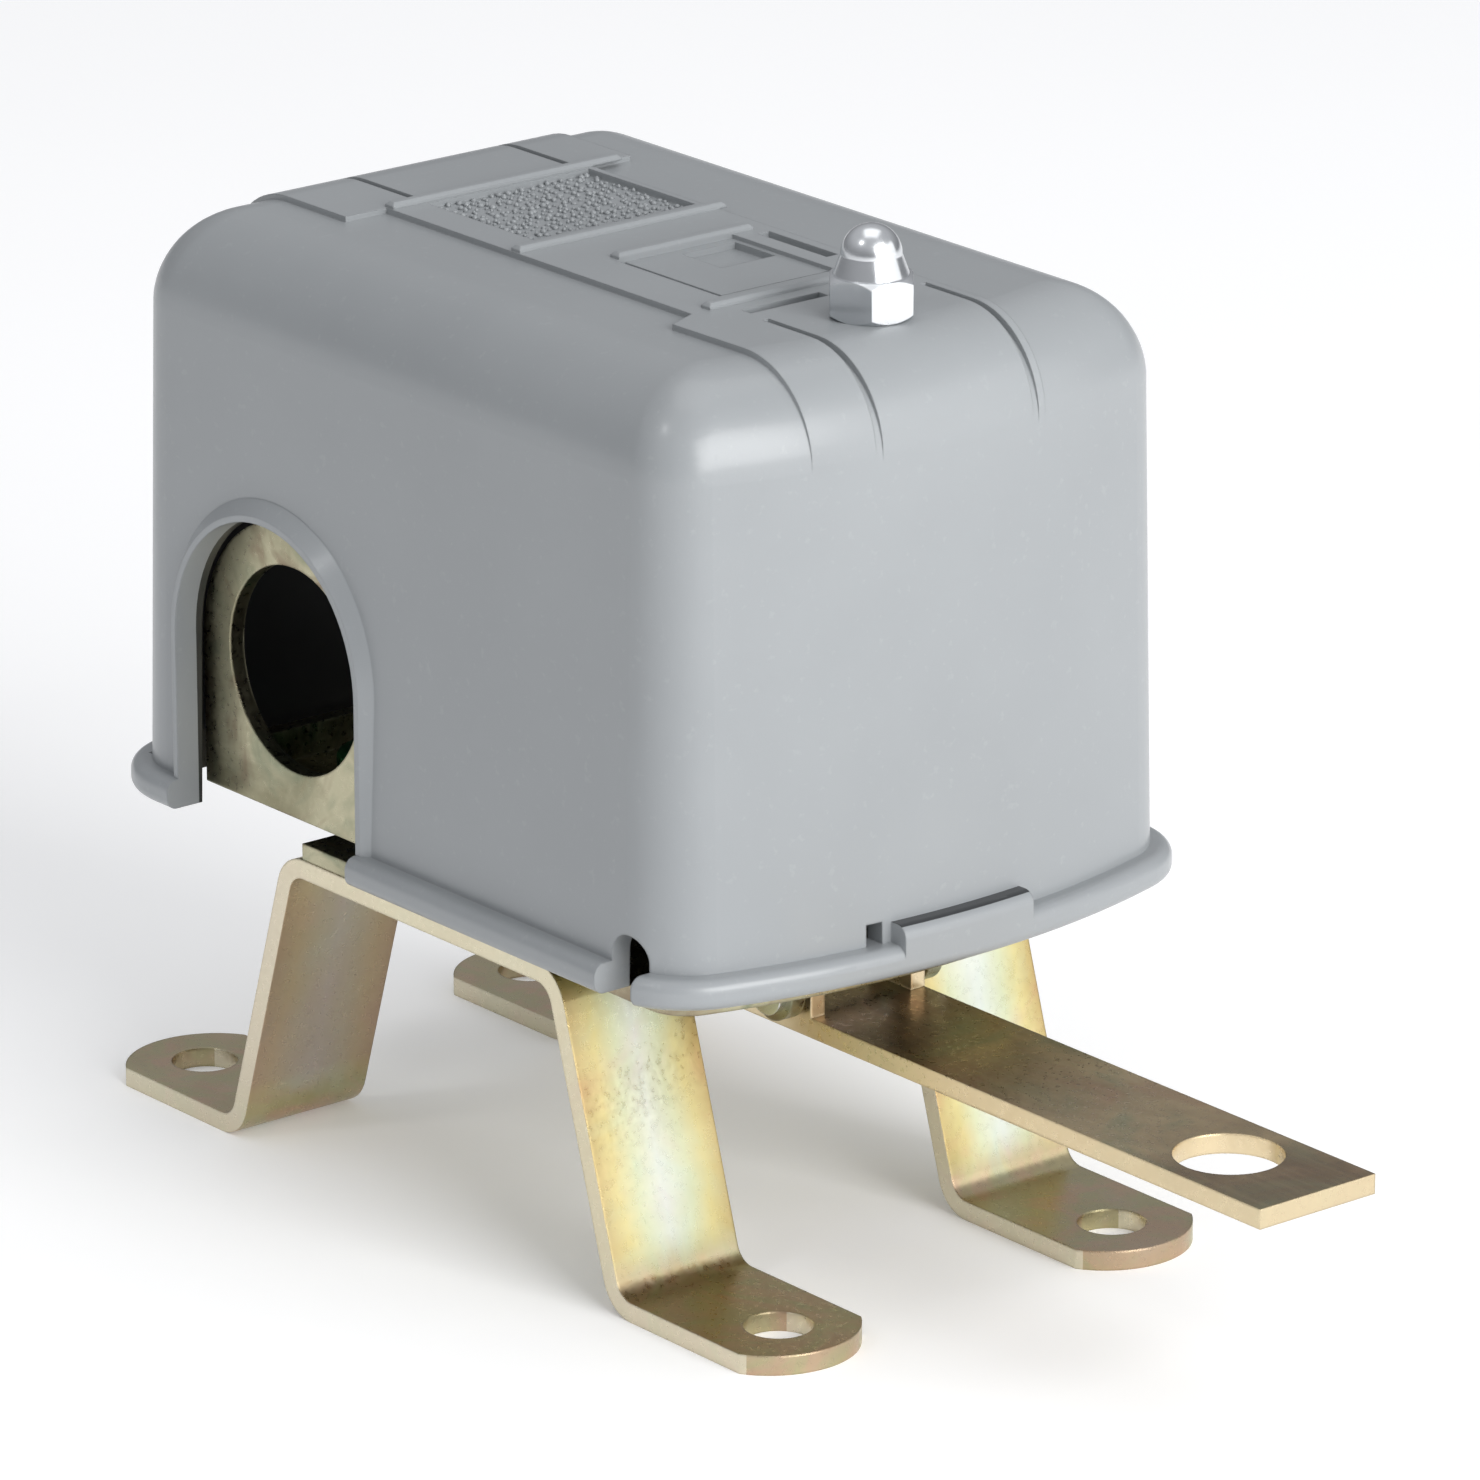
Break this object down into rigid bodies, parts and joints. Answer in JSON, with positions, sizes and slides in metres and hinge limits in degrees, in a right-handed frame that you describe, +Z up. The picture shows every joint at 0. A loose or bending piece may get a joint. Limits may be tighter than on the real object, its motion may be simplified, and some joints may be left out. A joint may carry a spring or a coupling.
{
  "type": "float switch",
  "caption": "Lever-operated float switch on two bent mounting straps, with a lift-off cover, conduit walls, an eyed lever arm and a snap contact block.",
  "frame": {"origin": "on the floor plane, at the centre of the four foot holes", "axes": "+Z up, +X along the lever arm towards its eye, Y across, with a conduit wall on each side"},
  "size_m": [0.1598, 0.0712, 0.1098],
  "materials": {
    "cover_plastic": "satin moulded grey",
    "chromate_strap": "yellow chromate zinc, iridescent",
    "chromate_frame": "yellow chromate zinc, olive",
    "chromate_lever": "yellow chromate zinc, brown",
    "bright_zinc": "bright zinc plate",
    "spring_steel": "oiled spring wire",
    "phenolic": "black moulded phenolic",
    "brass": "satin",
    "silver_contact": "silver alloy",
    "copper_bridge": "copper alloy, satin",
    "green_screw": "green chromate"
  },
  "bodies": {
    "base": {"base_frame": "chromate_frame", "left_mounting_strap": "chromate_strap", "right_mounting_strap": "chromate_strap", "strap_rivets": "bright_zinc", "lever_pivot_pin": "bright_zinc", "channel_hinge_pin": "bright_zinc", "range_stud": "bright_zinc", "range_spring": "spring_steel", "range_washer": "bright_zinc", "differential_stud": "bright_zinc", "differential_spring": "spring_steel", "differential_washer": "bright_zinc", "contact_block": "phenolic", "rocker_pin": "bright_zinc", "terminal_plates": "brass", "fixed_contacts": "silver_contact", "wire_clamps": "bright_zinc", "terminal_screws": "bright_zinc", "contact_block_screws": "bright_zinc", "ground_screws": "green_screw", "toggle_spring": "spring_steel"},
    "lever": {"lever_arm": "chromate_lever", "lever_push_pin": "bright_zinc"},
    "channel": {"operating_channel": "chromate_frame"},
    "rocker": {"contact_rocker": "phenolic", "contact_bridges": "copper_bridge", "moving_contacts": "silver_contact", "contact_spring_1": "spring_steel", "contact_spring_2": "spring_steel"},
    "range_nut": {"range_nut": "bright_zinc"},
    "differential_nut": {"differential_nut": "bright_zinc"},
    "cover": {"cover": "cover_plastic"},
    "cap_nut": {"acorn_nut": "bright_zinc"}
  },
  "joints": [
    {"name": "lever_tilt", "type": "hinge", "parent": "base", "child": "lever", "pos_m": [0.0325, 0, 0.0305], "axis": [0, 1, 0], "range_deg": [-6, 6], "stiffness_Nm_per_rad": 1.94},
    {"name": "channel_tilt", "type": "hinge", "parent": "base", "child": "channel", "pos_m": [-0.006, 0, 0.043], "axis": [0, 1, 0], "range_deg": [-2.2, 2.2], "deforming": ["range_spring", "differential_spring"]},
    {"name": "rocker_tilt", "type": "hinge", "parent": "base", "child": "rocker", "pos_m": [0.022, 0, 0.0503], "axis": [0, 1, 0], "range_deg": [-6, 6], "deforming": ["toggle_spring"]},
    {"name": "range_nut_turn", "type": "hinge", "parent": "base", "child": "range_nut", "pos_m": [0.0358, 0, 0.074], "axis": [0, 0, 1], "continuous": true},
    {"name": "differential_nut_turn", "type": "hinge", "parent": "base", "child": "differential_nut", "pos_m": [0.0358, -0.0124, 0.058], "axis": [0, 0, 1], "continuous": true},
    {"name": "cover_lift", "type": "slide", "parent": "base", "child": "cover", "axis": [0, 0, 1], "range_m": [0, 0.075]},
    {"name": "cap_nut_turn", "type": "hinge", "parent": "cover", "child": "cap_nut", "pos_m": [0.0358, 0, 0.105], "axis": [0, 0, 1], "continuous": true}
  ],
  "couplings": [
    {"joint": "channel_tilt", "follows": "lever_tilt", "ratio": -0.3509},
    {"joint": "rocker_tilt", "follows": "lever_tilt", "ratio": 1}
  ]
}
